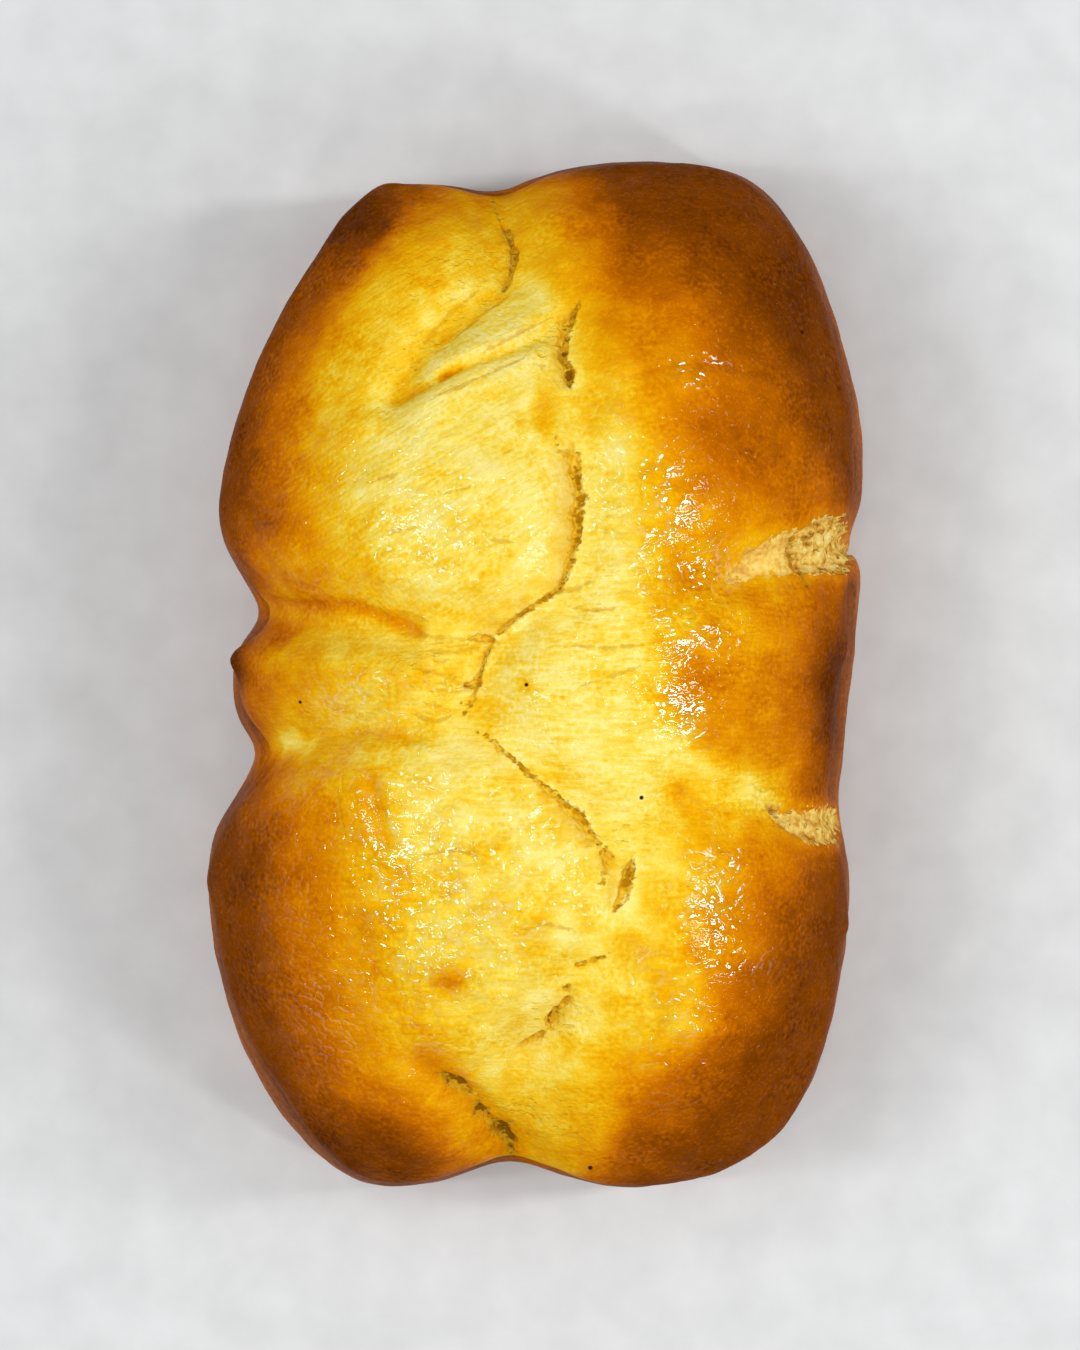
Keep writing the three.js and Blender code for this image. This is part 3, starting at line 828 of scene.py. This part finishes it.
class Nodes:
    """Short calls to add and join the nodes of a material or of the sky."""

    def __init__(self, owner):
        owner.use_nodes = True
        self.tree = owner.node_tree

    def add(self, kind, **settings):
        node = self.tree.nodes.new(kind)
        for name, value in settings.items():
            setattr(node, name, value)
        return node

    def join(self, output, target):
        self.tree.links.new(output, target)

    def give(self, given, socket):
        """Joins an output to a socket, or sets the socket to a number."""
        if isinstance(given, (int, float)):
            socket.default_value = given
        else:
            self.join(given, socket)

    def noise(self, size_mm, detail=2.0, turn_deg=0.0):
        """Noise over the object, with lumps of one size or of three sizes along turned axes."""
        sizes = size_mm if isinstance(size_mm, tuple) else (size_mm,) * 3
        place = self.add("ShaderNodeTexCoord")
        axes = self.add("ShaderNodeMapping", vector_type="TEXTURE")
        axes.inputs["Rotation"].default_value = (0, 0, math.radians(turn_deg))
        axes.inputs["Scale"].default_value = [size * MM for size in sizes]
        texture = self.add("ShaderNodeTexNoise")
        texture.inputs["Scale"].default_value = 1
        texture.inputs["Detail"].default_value = detail
        self.join(place.outputs["Object"], axes.inputs["Vector"])
        self.join(axes.outputs["Vector"], texture.inputs["Vector"])
        return texture.outputs["Fac"]

    def lumps(self, size_mm, amount, detail=2.0, turn_deg=0.0):
        """Noise that reaches from about -amount to amount."""
        return self.spread(self.noise(size_mm, detail, turn_deg), -amount, amount, *NOISE_REACH)

    def spots(self, name):
        """Named spots of noise, 0 outside them and 1 inside."""
        size_mm, detail, outside, inside = SPOTS[name]
        return self.spread(self.noise(size_mm, detail), 0, 1, outside, inside)

    def value(self, name):
        """A mask stored on the mesh."""
        return self.add("ShaderNodeAttribute", attribute_name=name).outputs["Fac"]

    def math(self, operation, first, second):
        node = self.add("ShaderNodeMath", operation=operation)
        self.give(first, node.inputs[0])
        self.give(second, node.inputs[1])
        return node.outputs[0]

    def total(self, *terms):
        result = terms[0]
        for term in terms[1:]:
            result = self.math("ADD", result, term)
        return result

    def times(self, *factors):
        result = factors[0]
        for factor in factors[1:]:
            result = self.math("MULTIPLY", result, factor)
        return result

    def spread(self, source, low, high, start=0.0, end=1.0, shape="LINEAR"):
        """A value between start and end moved to the range from low to high."""
        node = self.add("ShaderNodeMapRange", interpolation_type=shape)
        for name, number in zip(("From Min", "From Max", "To Min", "To Max"), (start, end, low, high)):
            node.inputs[name].default_value = number
        self.join(source, node.inputs["Value"])
        return node.outputs["Result"]

    def ramp(self, source, stops):
        """Colours along a value, from pairs of place and linear colour."""
        node = self.add("ShaderNodeValToRGB")
        elements = node.color_ramp.elements
        while len(elements) < len(stops):
            elements.new(1)
        for element, (place, colour) in zip(elements, stops):
            element.position = place
            element.color = (*colour, 1)
        self.join(source, node.inputs["Fac"])
        return node.outputs["Color"]

    def colour(self, given):
        """A colour that shows as the given sRGB colour in this light."""
        node = self.add("ShaderNodeRGB")
        node.outputs["Color"].default_value = (*(linear(given) / LIGHT_GAIN), 1)
        return node.outputs["Color"]

    def near(self, x, y, radius):
        """1 close to a place on the plan and 0 further from it than the radius, in millimetres."""
        place = self.add("ShaderNodeTexCoord")
        level = self.add("ShaderNodeVectorMath", operation="MULTIPLY")
        level.inputs[1].default_value = (1 / MM, 1 / MM, 0)
        away = self.add("ShaderNodeVectorMath", operation="DISTANCE")
        away.inputs[1].default_value = (x, y, 0)
        self.join(place.outputs["Object"], level.inputs[0])
        self.join(level.outputs["Vector"], away.inputs[0])
        return self.spread(away.outputs["Value"], 1, 0, SPECK_CORE * radius, radius)

    def blend(self, factor, first, second):
        """A mix of two values."""
        node = self.add("ShaderNodeMix", data_type="FLOAT")
        self.join(factor, node.inputs["Factor"])
        self.give(first, node.inputs[2])
        self.give(second, node.inputs[3])
        return node.outputs[0]

    def mix(self, factor, first, second):
        """A mix of two colours."""
        node = self.add("ShaderNodeMix", data_type="RGBA")
        self.join(factor, node.inputs["Factor"])
        self.join(first, node.inputs[6])
        self.join(second, node.inputs[7])
        return node.outputs[2]

    def bump(self, height_mm):
        """A normal from a height in millimetres."""
        node = self.add("ShaderNodeBump")
        node.inputs["Distance"].default_value = MM
        self.join(height_mm, node.inputs["Height"])
        return node.outputs["Normal"]


def surface_colours(stops):
    """Linear colours that show as the given sRGB colours in this light, with their places on a ramp."""
    return [(place, np.clip(linear(colour) / LIGHT_GAIN, 0, 1)) for place, colour in stops]


def crack_masks(nodes):
    """Where the crust has opened, where the bottom of a crack shows, and where slits are."""
    gap = nodes.total(nodes.value("gap"), nodes.lumps(*LUMPS["teeth"]))
    opened = nodes.spread(gap, 0, 1, *OPENED_MM)
    overhung = nodes.times(nodes.value("tuck"), OVERHANG_MM)
    pit = nodes.spread(nodes.total(gap, overhung, nodes.lumps(*LUMPS["pit"])), 0, 1, *PIT_MM)
    away = nodes.math("ABSOLUTE", nodes.value("slit"), 0)
    slit = nodes.spread(nodes.total(away, nodes.lumps(*LUMPS["slit"])), 1, 0, *SLIT_EDGE)
    return opened, pit, nodes.times(slit, nodes.value("slit_shown"))


def crumb_masks(nodes):
    """Where the crumb is bare, how it swings there, and where it has holes."""
    shred = nodes.value("shred")
    edge = nodes.total(nodes.lumps(*LUMPS["torn edge"]), nodes.lumps(*LUMPS["fine torn edge"]))
    crumb = nodes.spread(nodes.total(nodes.value("torn"), edge), 0, 1, *CRUMB_EDGE_MM)
    sizes = ("fine crumbs", "crumb strands", "coarse crumbs")
    crumbs = nodes.total(*[nodes.lumps(*LUMPS[size]) for size in sizes])
    ragged = nodes.times(crumbs, nodes.spread(shred, *RAGGED))
    return crumb, ragged, nodes.times(shred, crumb, nodes.spots("holes"))


def crust_masks(nodes):
    """What the crust's colour, gloss and relief have in common."""
    masks = SimpleNamespace()
    for name in ("brown", "tuck", "wall", "wet", "drawn"):
        setattr(masks, name, nodes.value(name))
    masks.pale = nodes.math("SUBTRACT", 1.0, masks.brown)
    masks.opened, masks.pit, masks.slit = crack_masks(nodes)
    masks.crumb, masks.ragged, masks.holes = crumb_masks(nodes)
    masks.porous = nodes.times(nodes.value("porous"), nodes.spots("pores"))
    slanted = nodes.lumps(*LUMPS["slanted fibre"])
    masks.fibre = nodes.blend(nodes.value("slant"), nodes.lumps(*LUMPS["fibre"]), slanted)
    masks.grain = nodes.lumps(*LUMPS["grain"])
    masks.pan_marks = nodes.lumps(*LUMPS["pan marks"])
    off_middle = nodes.math("SUBTRACT", nodes.noise(*WINDING_NOISE), NOISE_MIDDLE)
    masks.winding = nodes.math("ABSOLUTE", off_middle, 0)
    masks.ridges = nodes.spread(masks.winding, 1, 0, *RIDGE_WIDTH, "SMOOTHSTEP")
    return masks


def crust_browning(nodes, masks, clusters):
    """The stored browning with fine mottle, grain, fibres and marks."""
    return nodes.total(
        masks.brown,
        nodes.times(masks.pale, nodes.lumps(*LUMPS["mottle"]), BROWNING_SHARE["mottle"]),
        nodes.times(nodes.spread(masks.pale, *GRAIN_BROWNING), masks.grain),
        nodes.times(masks.drawn, masks.pale, masks.fibre, BROWNING_SHARE["fibre"]),
        nodes.times(clusters, nodes.spots("speckles"), BROWNING_SHARE["speckles"]),
        nodes.times(masks.wall, nodes.lumps(*LUMPS["wall colour"])),
        nodes.times(masks.wall, masks.pan_marks, BROWNING_SHARE["pan marks"]),
        nodes.spread(nodes.value("torn"), 0, TEAR_PALER, TEAR_PALER_MM, 0),
    )


def crust_colour(nodes, masks):
    """The browned crust, covered in turn by painted glints, painted shade on tucked sides and in slits,
    crumb, painted shade in holes, pores and cracks, and specks.
    """
    clusters = nodes.spots("clusters")
    colour = nodes.ramp(crust_browning(nodes, masks, clusters), surface_colours(CRUST_COLOURS))
    golden = nodes.spread(masks.pale, 0, 1, *PAINTED_GLINT_SHOWS)
    # A painted highlight: pale squiggles of glint along the glaze's ridges.
    painted_glint = nodes.times(masks.ridges, clusters, nodes.spots("broken"), golden, masks.wet)
    # Bare crumb, darker in its dips: partly its own tone, partly painted shade.
    bare = nodes.ramp(nodes.total(masks.ragged, CRUMB_MIDDLE), surface_colours(CRUMB_COLOURS))
    # Painted shade in cracks and pores, darker on brown crust and where cracks are deep.
    shaded_hollow = nodes.ramp(nodes.noise(*HOLLOW_NOISE), surface_colours(HOLLOW_SHADE_COLOURS))
    darkened = nodes.spread(masks.brown, 0, 1, *HOLLOW_SHADE_DARKENS)
    shaded_hollow = nodes.mix(darkened, shaded_hollow, nodes.colour(PIT_SHADE_COLOUR))
    deeper_shade = nodes.spread(nodes.value("crack_depth"), 0, 1, *DEEP_MM)
    shaded_bottom = nodes.mix(deeper_shade, nodes.colour(PIT_SHADE_COLOUR), nodes.colour(DEEP_PIT_SHADE_COLOUR))
    # Covers: a painted highlight for glints, painted shade on tucked sides and in slits, bare crumb, painted
    # shade in holes, pores and cracks, then specks.
    covers = [
        (nodes.times(painted_glint, COVER["painted_glint"]), nodes.colour(PAINTED_GLINT_COLOUR)),
        (nodes.times(masks.tuck, COVER["tuck"]), nodes.colour(TUCKED_SHADE_COLOUR)),
        (nodes.times(masks.slit, COVER["slit"]), nodes.colour(TUCKED_SHADE_COLOUR)),
        (masks.crumb, bare),
        (nodes.times(masks.holes, COVER["holes"]), nodes.colour(PIT_SHADE_COLOUR)),
        (nodes.times(masks.porous, COVER["porous"]), shaded_hollow),
        (masks.opened, shaded_hollow),
        (masks.pit, shaded_bottom),
    ]
    covers += [(nodes.near(*speck), nodes.colour(SPECK_COLOUR)) for speck in SPECKS]
    for mask, cover in covers:
        colour = nodes.mix(mask, colour, cover)
    return colour


def set_gloss(nodes, shader, masks):
    """Glassy lace of egg wash, thin sheen on steep sides, and dull crumb and cracks."""
    dull = masks.crumb
    for mask in (masks.opened, masks.porous, masks.tuck):
        dull = nodes.math("MAXIMUM", dull, mask)
    shine = nodes.spread(nodes.noise(ROUGHNESS_SIZE_MM), *ROUGHNESS)
    roughness = nodes.math("MAXIMUM", shine, nodes.times(dull, DULL_ROUGHNESS))
    nodes.join(roughness, shader.inputs["Roughness"])
    lace = nodes.spread(masks.winding, 1, GLAZE_BETWEEN_LACE, *LACE_EDGE, "SMOOTHSTEP")
    coat = nodes.total(nodes.times(masks.wet, lace), nodes.value("sheen"))
    nodes.join(nodes.math("SUBTRACT", coat, dull), shader.inputs["Coat Weight"])
    shader.inputs["Coat Roughness"].default_value = COAT_ROUGHNESS
    shader.inputs["Coat IOR"].default_value = COAT_IOR
    shader.inputs["Specular IOR Level"].default_value = 0.0


def crust_relief(nodes, masks):
    """Fine height of the crust in millimetres."""
    return nodes.total(
        nodes.times(masks.drawn, masks.pale, masks.fibre, RELIEF_MM["fibre"]),
        nodes.times(nodes.spread(masks.pale, *GRAIN_RELIEF_MM), masks.grain),
        nodes.times(masks.crumb, masks.ragged, RELIEF_MM["crumb"]),
        nodes.times(masks.holes, RELIEF_MM["holes"]),
        nodes.times(masks.opened, RELIEF_MM["opened"]),
        nodes.times(masks.pit, RELIEF_MM["pit"]),
        nodes.times(masks.porous, RELIEF_MM["porous"]),
        nodes.times(masks.slit, RELIEF_MM["slit"]),
        nodes.times(masks.wall, masks.pan_marks, RELIEF_MM["pan marks"]),
        nodes.times(masks.wall, nodes.lumps(*LUMPS["wall relief"])),
    )


def glaze_relief(nodes, masks):
    """Ripples and ridges of the glaze in millimetres."""
    ripples = nodes.times(nodes.noise(*RIPPLE_NOISE), RIPPLE_MM)
    return nodes.total(ripples, nodes.times(masks.ridges, RIDGE_MM))


def crust_material():
    material = bpy.data.materials.new("egg_washed_crust")
    nodes = Nodes(material)
    shader = nodes.tree.nodes["Principled BSDF"]
    masks = crust_masks(nodes)
    nodes.join(crust_colour(nodes, masks), shader.inputs["Base Color"])
    set_gloss(nodes, shader, masks)
    nodes.join(nodes.bump(crust_relief(nodes, masks)), shader.inputs["Normal"])
    nodes.join(nodes.bump(glaze_relief(nodes, masks)), shader.inputs["Coat Normal"])
    return material


def floor_material():
    material = bpy.data.materials.new("pale_floor")
    nodes = Nodes(material)
    shader = nodes.tree.nodes["Principled BSDF"]
    factors = (1 - FLOOR_MOTTLE, 1 + FLOOR_MOTTLE)
    greys = [(place, FLOOR_COLOUR * factor) for place, factor in zip(NOISE_REACH, factors)]
    nodes.join(nodes.ramp(nodes.noise(*FLOOR_NOISE), greys), shader.inputs["Base Color"])
    shader.inputs["Roughness"].default_value = FLOOR_ROUGHNESS
    return material


def make_floor():
    bpy.ops.mesh.primitive_plane_add(size=2 * FLOOR_HALF_M)
    floor = bpy.context.object
    floor.name = "floor"
    floor.data.materials.append(floor_material())


def make_sky():
    """Soft light from all round, brightest from straight above, that the glaze doesn't mirror."""
    world = bpy.data.worlds.new("studio")
    nodes = Nodes(world)
    place = nodes.add("ShaderNodeTexCoord")
    parts = nodes.add("ShaderNodeSeparateXYZ")
    nodes.join(place.outputs["Generated"], parts.inputs["Vector"])
    sky = nodes.ramp(parts.outputs["Z"], [(height, [grey] * 3) for height, grey in SKY])
    background = nodes.tree.nodes["Background"]
    nodes.join(sky, background.inputs["Color"])
    background.inputs["Strength"].default_value = SKY_STRENGTH
    bpy.context.scene.world = world
    world.cycles_visibility.glossy = False


def make_lights():
    for name, (place, size, watts, mirrored) in LIGHTS.items():
        lamp = bpy.data.lights.new(name, "AREA")
        lamp.shape = "RECTANGLE"
        lamp.size, lamp.size_y = size
        lamp.energy = watts
        light = bpy.data.objects.new(name, lamp)
        light.location = place
        light.visible_glossy = mirrored
        light.rotation_euler = (-Vector(place)).to_track_quat("-Z", "Y").to_euler()
        bpy.context.scene.collection.objects.link(light)


def make_camera():
    lens = bpy.data.cameras.new("camera")
    lens.sensor_width = SENSOR_MM
    lens.lens = FOCAL_PIXELS * SENSOR_MM / max(PHOTO_SIZE)
    camera = bpy.data.objects.new("camera", lens)
    camera.location = (CAMERA_SHIFT_MM[0] * MM, CAMERA_SHIFT_MM[1] * MM, CAMERA_HEIGHT_MM * MM)
    bpy.context.scene.collection.objects.link(camera)
    bpy.context.scene.camera = camera


def make_loaf(node):
    cad_points = read_points(node.data)
    loaf = smooth_copy(node)
    fill_wide_cracks(loaf)
    refine(loaf)
    dress_shape(loaf, cad_points)
    loaf.data.shade_smooth()
    loaf.data.materials.clear()
    loaf.data.materials.append(crust_material())
    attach(loaf, "root")
    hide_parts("loaf")


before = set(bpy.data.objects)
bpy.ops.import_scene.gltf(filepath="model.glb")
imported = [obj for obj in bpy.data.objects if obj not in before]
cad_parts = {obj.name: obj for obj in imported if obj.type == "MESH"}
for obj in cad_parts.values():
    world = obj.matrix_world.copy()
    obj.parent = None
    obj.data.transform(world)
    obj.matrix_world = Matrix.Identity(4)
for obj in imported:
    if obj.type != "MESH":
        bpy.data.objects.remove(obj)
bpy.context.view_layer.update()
make_camera()
make_sky()
make_lights()
make_floor()
make_loaf(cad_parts["loaf"])
bpy.context.scene.view_settings.view_transform = "Standard"
